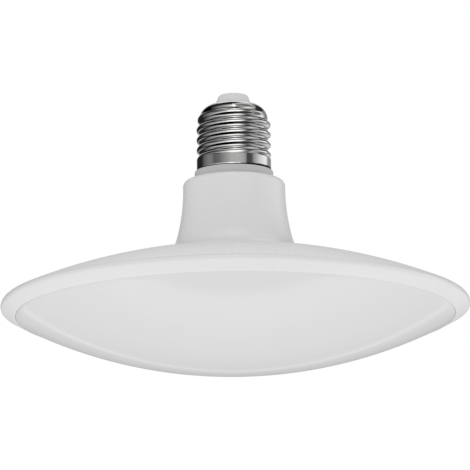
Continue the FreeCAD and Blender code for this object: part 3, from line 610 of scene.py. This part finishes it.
insulatorPlastic = makeMaterial("insulatorPlastic", "moulded", (0.03, 0.0003), {
    "Colour": grey(0.80), "Cloud Colour": grey(0.78), "Cloud Scale": 120.0,
    "Skin Scale": 4000.0, "Smooth": 0.35, "Matt": 0.5}, IOR=1.5)
contactMetal = makeMaterial("contactMetal", "turned", (0.08, 0.00004), {
    "Colour": grey(0.70, 0.02), "Dull Colour": grey(0.45, 0.03), "Low Radius": 0.0,
    "High Radius": 0.0024, "Bright": 0.2, "Dull": 0.4}, Metallic=1.0)
makeInsulator(insulatorPlastic)
makeContact(contactMetal)
print("lamp: insulator and contact made")


# inside pieces keep their CAD shapes and take these finishes

def tone(red, green, blue):
    return (red, green, blue, 1)


insideFinishes = {
    "sinkAluminium": ("turned", (0.06, 0.00003), {
        "Colour": grey(0.80), "Dull Colour": grey(0.62), "Low Radius": 0.0, "High Radius": 0.07,
        "Bright": 0.28, "Dull": 0.42}, {"Metallic": 1.0}, ["heat_sink"]),
    "thermalPad": ("moulded", (0.2, 0.0002), {
        "Colour": tone(0.42, 0.47, 0.52), "Cloud Colour": tone(0.36, 0.41, 0.47), "Cloud Scale": 200.0,
        "Skin Scale": 1800.0, "Smooth": 0.6, "Matt": 0.8}, {}, ["thermal_pad"]),
    "whiteBoard": ("woven", (0.02, 0.00003), {
        "Colour": grey(0.80), "Weave Colour": grey(0.76, 0.01), "Thread": 500.0}, {}, ["led_board"]),
    "phosphor": ("moulded", (0.05, 0.0001), {
        "Colour": tone(0.82, 0.66, 0.16), "Cloud Colour": tone(0.86, 0.72, 0.30), "Cloud Scale": 900.0,
        "Smooth": 0.3, "Matt": 0.5}, {}, ["led_chips"]),
    "screwSteel": ("turned", (0.08, 0.00003), {
        "Colour": grey(0.62, 0.01), "Dull Colour": grey(0.42, 0.02), "Low Radius": 0.0,
        "High Radius": 0.05, "Bright": 0.22, "Dull": 0.38}, {"Metallic": 1.0}, ["board_screws"]),
    "greenBoard": ("woven", (0.05, 0.00004), {
        "Colour": tone(0.02, 0.16, 0.06), "Weave Colour": tone(0.05, 0.24, 0.09), "Thread": 900.0,
        "Smooth": 0.2, "Matt": 0.36}, {}, ["driver_board"]),
    "canSleeve": ("moulded", (0.04, 0.0001), {
        "Colour": tone(0.02, 0.03, 0.05), "Cloud Colour": tone(0.04, 0.05, 0.08), "Cloud Scale": 300.0,
        "Smooth": 0.2, "Matt": 0.34}, {}, ["input_capacitor", "output_capacitor"]),
    "ferrite": ("moulded", (0.15, 0.0001), {
        "Colour": tone(0.05, 0.05, 0.055), "Cloud Colour": tone(0.09, 0.085, 0.08), "Cloud Scale": 800.0,
        "Smooth": 0.4, "Matt": 0.6}, {}, ["transformer_core"]),
    "bobbinPlastic": ("moulded", (0.04, 0.0001), {
        "Colour": grey(0.03), "Cloud Colour": grey(0.05), "Cloud Scale": 400.0,
        "Smooth": 0.35, "Matt": 0.5}, {}, ["transformer_bobbin"]),
    "windingTape": ("moulded", (0.1, 0.0001), {
        "Colour": tone(0.78, 0.62, 0.07), "Cloud Colour": tone(0.70, 0.53, 0.05), "Cloud Scale": 500.0,
        "Smooth": 0.2, "Matt": 0.4}, {}, ["transformer_winding"]),
    "varistorBlue": ("moulded", (0.2, 0.0001), {
        "Colour": tone(0.04, 0.16, 0.42), "Cloud Colour": tone(0.05, 0.20, 0.50), "Cloud Scale": 500.0,
        "Smooth": 0.25, "Matt": 0.45}, {}, ["varistor"]),
    "resistorBody": ("moulded", (0.1, 0.0001), {
        "Colour": tone(0.24, 0.40, 0.34), "Cloud Colour": tone(0.20, 0.34, 0.30), "Cloud Scale": 700.0,
        "Smooth": 0.4, "Matt": 0.6}, {}, ["fuse_resistor"]),
    "chokeBody": ("moulded", (0.1, 0.0001), {
        "Colour": grey(0.07), "Cloud Colour": tone(0.11, 0.10, 0.10), "Cloud Scale": 700.0,
        "Smooth": 0.3, "Matt": 0.5}, {}, ["filter_choke"]),
    "filmBox": ("moulded", (0.05, 0.0001), {
        "Colour": tone(0.52, 0.10, 0.04), "Cloud Colour": tone(0.58, 0.13, 0.05), "Cloud Scale": 300.0,
        "Smooth": 0.2, "Matt": 0.4}, {}, ["film_capacitor"]),
    "packageBlack": ("moulded", (0.1, 0.00005), {
        "Colour": tone(0.025, 0.025, 0.027), "Cloud Colour": grey(0.045), "Cloud Scale": 900.0,
        "Smooth": 0.4, "Matt": 0.6}, {}, ["bridge_rectifier", "driver_chip", "diodes"]),
    "resistorBlack": ("moulded", (0.05, 0.00003), {
        "Colour": tone(0.03, 0.03, 0.035), "Cloud Colour": grey(0.06), "Cloud Scale": 1500.0,
        "Smooth": 0.25, "Matt": 0.45}, {}, ["chip_resistors"]),
    "ceramicTan": ("moulded", (0.05, 0.00003), {
        "Colour": tone(0.46, 0.33, 0.20), "Cloud Colour": tone(0.52, 0.38, 0.25), "Cloud Scale": 1500.0,
        "Smooth": 0.25, "Matt": 0.45}, {}, ["chip_capacitors"]),
    "tinnedCopper": ("turned", (0.05, 0.00002), {
        "Colour": grey(0.76, 0.01), "Dull Colour": grey(0.56, 0.02), "Low Radius": 0.0,
        "High Radius": 0.02, "Bright": 0.2, "Dull": 0.36}, {"Metallic": 1.0}, ["component_leads"]),
    "solderAlloy": ("turned", (0.12, 0.00004), {
        "Colour": grey(0.72), "Dull Colour": grey(0.55), "Low Radius": 0.0, "High Radius": 0.02,
        "Bright": 0.18, "Dull": 0.4}, {"Metallic": 1.0}, ["solder_joints"]),
    "headerPlastic": ("moulded", (0.05, 0.0001), {
        "Colour": grey(0.03), "Cloud Colour": grey(0.05), "Cloud Scale": 500.0,
        "Smooth": 0.35, "Matt": 0.5}, {}, ["pin_header"]),
    "pinGold": ("turned", (0.05, 0.00002), {
        "Colour": tone(0.86, 0.62, 0.22), "Dull Colour": tone(0.68, 0.46, 0.16), "Low Radius": 0.0,
        "High Radius": 0.01, "Bright": 0.18, "Dull": 0.34}, {"Metallic": 1.0}, ["output_pins"]),
    "wireRed": ("moulded", (0.05, 0.0001), {
        "Colour": tone(0.50, 0.02, 0.02), "Cloud Colour": tone(0.44, 0.02, 0.02), "Cloud Scale": 500.0,
        "Smooth": 0.35, "Matt": 0.5}, {}, ["live_wire"]),
    "wireBlack": ("moulded", (0.05, 0.0001), {
        "Colour": grey(0.02), "Cloud Colour": grey(0.04), "Cloud Scale": 500.0,
        "Smooth": 0.35, "Matt": 0.5}, {}, ["neutral_wire"]),
}

insideWeld = 1e-6
insideSharp = 32


def dressInside():
    for name, (finish, bump, values, shaderValues, dressed) in insideFinishes.items():
        material = makeMaterial(name, finish, bump, values, **shaderValues)
        for node in dressed:
            piece = nodes[node]
            for place in piece.material_slots:
                place.material = material
            for face in piece.data.polygons:
                face.use_smooth = True
            weld = piece.modifiers.new("weld", "WELD")
            weld.merge_threshold = insideWeld
            split = piece.modifiers.new("edges", "EDGE_SPLIT")
            split.split_angle = math.radians(insideSharp)


dressInside()
print("lamp: inside pieces dressed")


# studio: pale floor, white surroundings, a weak side lamp and a tent for reflections

studio = {
    # metres and degrees, and brightness where 1 is white
    "floorZ": -1.3, "floorSize": 8.0, "floorGrey": 0.9, "floorLift": 0.4,
    "skyBelow": 1.03, "skyAbove": 0.75, "skyBlend": 0.5,
    "target": (0.00013, 0.0, -0.02272), "distance": 2.5, "elevation": -12.06, "roll": -0.593,
    "lens": 544.2, "sensor": 36.0, "clipEnd": 50.0,
    "lampPlace": (-1.8, -0.6, 0.3), "lampSize": 1.6, "lampWatts": 0.9,
}


def makeWorld():
    # plain white where it is seen, and stronger light from below than from above
    world = bpy.data.worlds.new("whiteSurroundings")
    scene.world = world
    world.use_nodes = True
    tree = world.node_tree
    tree.nodes.clear()
    path = addNode(tree, "ShaderNodeLightPath")
    place = addNode(tree, "ShaderNodeTexCoord")
    parts = addNode(tree, "ShaderNodeSeparateXYZ")
    tree.links.new(place.outputs["Generated"], parts.inputs[0])
    soft = rangeOf(tree, parts.outputs[2], -studio["skyBlend"], studio["skyBlend"],
                   studio["skyBelow"], studio["skyAbove"])
    seen = mathOf(tree, "MAXIMUM", path.outputs["Is Camera Ray"], path.outputs["Is Glossy Ray"])
    seen = mathOf(tree, "MAXIMUM", seen, path.outputs["Is Transmission Ray"])
    strength = addNode(tree, "ShaderNodeMix", data_type="FLOAT")
    tree.links.new(seen, strength.inputs[0])
    tree.links.new(soft, strength.inputs[2])
    strength.inputs[3].default_value = 1.0
    light = addNode(tree, "ShaderNodeBackground")
    light.inputs["Color"].default_value = (1, 1, 1, 1)
    tree.links.new(strength.outputs[0], light.inputs["Strength"])
    out = addNode(tree, "ShaderNodeOutputWorld")
    tree.links.new(light.outputs[0], out.inputs["Surface"])


def makeFloor():
    # lifted towards white for the camera, and clear from below
    bm = bmesh.new()
    bmesh.ops.create_grid(bm, x_segments=1, y_segments=1, size=studio["floorSize"])
    bmesh.ops.translate(bm, vec=(0, 0, studio["floorZ"]), verts=bm.verts[:])
    mesh = bpy.data.meshes.new("paleFloor")
    bm.to_mesh(mesh)
    bm.free()
    floor = bpy.data.objects.new("paleFloor", mesh)
    scene.collection.objects.link(floor)
    material = bpy.data.materials.new("paleFloor")
    material.use_nodes = True
    tree = material.node_tree
    tree.nodes.clear()
    path = addNode(tree, "ShaderNodeLightPath")
    side = addNode(tree, "ShaderNodeNewGeometry")
    pale = addNode(tree, "ShaderNodeBsdfDiffuse")
    pale.inputs["Color"].default_value = grey(studio["floorGrey"])
    lift = addNode(tree, "ShaderNodeEmission")
    lifted = mathOf(tree, "MULTIPLY", path.outputs["Is Camera Ray"], studio["floorLift"])
    tree.links.new(lifted, lift.inputs["Strength"])
    both = addNode(tree, "ShaderNodeAddShader")
    tree.links.new(pale.outputs[0], both.inputs[0])
    tree.links.new(lift.outputs[0], both.inputs[1])
    clear = addNode(tree, "ShaderNodeBsdfTransparent")
    under = addNode(tree, "ShaderNodeMixShader")
    tree.links.new(side.outputs["Backfacing"], under.inputs[0])
    tree.links.new(both.outputs[0], under.inputs[1])
    tree.links.new(clear.outputs[0], under.inputs[2])
    out = addNode(tree, "ShaderNodeOutputMaterial")
    tree.links.new(under.outputs[0], out.inputs["Surface"])
    mesh.materials.append(material)
    floor.visible_diffuse = False


tent = {
    "radius": 6.0,
    # brightness by degrees round from the camera's side, right positive: at the lamp's height,
    # in the soft boxes over and under that, and in the dark flags
    "middle": ((-180, 0.30), (-158, 0.05), (-150, 0.02), (-118, 0.02), (-98, 0.17), (-81, 0.24),
               (-68, 0.20), (-65, 0.12), (-45, 0.17), (-25, 0.34), (-7, 0.50), (12, 0.52), (30, 0.45),
               (38, 0.30), (42, 0.07), (57, 0.08), (65, 0.33), (88, 0.77), (106, 0.97), (120, 1.0),
               (131, 0.33), (158, 0.30), (180, 0.30)),
    "boxes": ((-180, 0.02), (-119, 0.02), (-100, 0.15), (-89, 0.3), (-66, 0.5), (-25, 0.9), (-10, 1.5),
              (20, 1.5), (30, 1.0), (38, 0.4), (52, 0.12), (60, 0.3), (71, 0.5), (85, 0.34), (106, 0.16),
              (125, 0.3), (150, 0.8), (180, 0.9)),
    "flags": ((-180, 0.0), (50, 0.0), (65, 0.05), (90, 0.06), (120, 0.03), (180, 0.02)),
    # which of them by degrees up: 0 flags, 0.5 middle, 1 boxes
    "upright": ((-90, 0.0), (-50, 0.0), (-46, 1.0), (-6, 1.0), (-1, 0.5), (24, 0.5), (28, 0.0), (46, 0.0),
                (50, 1.0), (90, 1.0)),
    # brightness behind the lamp, by degrees above its horizon there
    "behind": ((-90, 0.0), (-60, 0.0), (-57, 0.74), (-45, 0.64), (-32, 0.54), (-8, 0.52), (-4.5, 0.54),
               (-3.4, 0.84), (-2.4, 0.84), (-1.4, 0.52), (13, 0.46), (18, 0.48), (22, 0.51), (28, 0.62),
               (34, 0.80), (46, 1.05), (52, 1.75), (54, 0.0), (80, 0.0), (84, 1.0), (90, 1.0)),
    # that horizon drops to the sides, and the drop fades out high up and far down
    "horizon": -4.0, "horizonFall": 0.575, "fadeUp": (0, 30), "fadeDown": (-50, -35),
    # where the part behind blends into the front, by degrees from straight behind, low and high
    "blendHeights": (-35.0, -10.0), "blendNear": (28.0, 12.0), "blendFar": (50.0, 24.0),
}


def rampOf(tree, value, low, high, stops):
    # a curve through (position, level) stops
    node = addNode(tree, "ShaderNodeValToRGB")
    ramp = node.color_ramp
    while len(ramp.elements) < len(stops):
        ramp.elements.new(0.5)
    for element, (position, level) in zip(ramp.elements, stops):
        element.position = (position - low) / (high - low)
        element.color = (level, level, level, 1)
    tree.links.new(rangeOf(tree, value, low, high, 0.0, 1.0), node.inputs[0])
    return node.outputs[0]


def makeTent():
    # soft boxes and dark flags round the lamp, which only shiny surfaces see
    bm = bmesh.new()
    bmesh.ops.create_uvsphere(bm, u_segments=64, v_segments=32, radius=tent["radius"])
    bmesh.ops.reverse_faces(bm, faces=bm.faces[:])
    mesh = bpy.data.meshes.new("reflectionTent")
    bm.to_mesh(mesh)
    bm.free()
    walls = bpy.data.objects.new("reflectionTent", mesh)
    scene.collection.objects.link(walls)
    material = bpy.data.materials.new("reflectionTent")
    material.use_nodes = True
    tree = material.node_tree
    tree.nodes.clear()
    place = addNode(tree, "ShaderNodeTexCoord")
    direction = addNode(tree, "ShaderNodeVectorMath", operation="NORMALIZE")
    tree.links.new(place.outputs["Object"], direction.inputs[0])
    parts = addNode(tree, "ShaderNodeSeparateXYZ")
    tree.links.new(direction.outputs[0], parts.inputs[0])
    right, back, up = parts.outputs
    degrees = 180 / math.pi
    height = mathOf(tree, "MULTIPLY", mathOf(tree, "ARCSINE", up), degrees)
    ahead = mathOf(tree, "MULTIPLY", back, -1.0)
    turn = mathOf(tree, "MULTIPLY", mathOf(tree, "ARCTAN2", right, ahead), degrees)
    fromBack = mathOf(tree, "SUBTRACT", 180.0, mathOf(tree, "ABSOLUTE", turn))
    pick = rampOf(tree, height, -90, 90, tent["upright"])
    middle, boxes, flags = (rampOf(tree, turn, -180, 180, tent[part])
                            for part in ("middle", "boxes", "flags"))
    front = rangeOf(tree, pick, 0.5, 1.0, rangeOf(tree, pick, 0.0, 0.5, flags, middle), boxes)
    fall = mathOf(tree, "MULTIPLY", fromBack, -tent["horizonFall"])
    line = mathOf(tree, "ADD", fall, tent["horizon"])
    kept = mathOf(tree, "MULTIPLY", rangeOf(tree, height, *tent["fadeUp"], 1.0, 0.0),
                  rangeOf(tree, height, *tent["fadeDown"], 0.0, 1.0))
    above = mathOf(tree, "SUBTRACT", height, mathOf(tree, "MULTIPLY", line, kept))
    behind = rampOf(tree, above, -90, 90, tent["behind"])
    near = rangeOf(tree, height, *tent["blendHeights"], *tent["blendNear"])
    far = rangeOf(tree, height, *tent["blendHeights"], *tent["blendFar"])
    share = rangeOf(tree, fromBack, near, far, 1.0, 0.0)
    blend = addNode(tree, "ShaderNodeMix", data_type="FLOAT")
    tree.links.new(share, blend.inputs[0])
    tree.links.new(front, blend.inputs[2])
    tree.links.new(behind, blend.inputs[3])
    glow = addNode(tree, "ShaderNodeEmission")
    tree.links.new(blend.outputs[0], glow.inputs["Strength"])
    out = addNode(tree, "ShaderNodeOutputMaterial")
    tree.links.new(glow.outputs[0], out.inputs["Surface"])
    mesh.materials.append(material)
    walls.visible_camera = False
    walls.visible_diffuse = False
    walls.visible_transmission = False
    walls.visible_volume_scatter = False
    walls.visible_shadow = False
    # nothing but the tent shows in reflections
    for item in scene.objects:
        item.visible_glossy = item.name == "reflectionTent"


def makeLamp():
    data = bpy.data.lights.new("softSide", "AREA")
    data.shape = "SQUARE"
    data.size = studio["lampSize"]
    data.energy = studio["lampWatts"]
    lamp = bpy.data.objects.new("softSide", data)
    scene.collection.objects.link(lamp)
    lamp.location = studio["lampPlace"]
    aim = Vector(studio["target"]) - Vector(studio["lampPlace"])
    lamp.rotation_euler = aim.to_track_quat("-Z", "Y").to_euler()
    lamp.visible_camera = False
    lamp.visible_glossy = False


def makeCamera():
    data = bpy.data.cameras.new("photoCamera")
    data.sensor_width = studio["sensor"]
    data.lens = studio["lens"]
    data.clip_end = studio["clipEnd"]
    camera = bpy.data.objects.new("photoCamera", data)
    scene.collection.objects.link(camera)
    lift = math.radians(studio["elevation"])
    back = Vector((0, -math.cos(lift), math.sin(lift)))
    target = Vector(studio["target"])
    camera.location = target + back * studio["distance"]
    aim = (-back).to_track_quat("-Z", "Y").to_matrix()
    turn = Matrix.Rotation(math.radians(studio["roll"]), 3, "Z")
    camera.rotation_euler = (aim @ turn).to_euler()
    scene.camera = camera


makeWorld()
makeFloor()
makeTent()
makeLamp()
makeCamera()
scene.view_settings.view_transform = "Standard"
print("lamp: studio made")
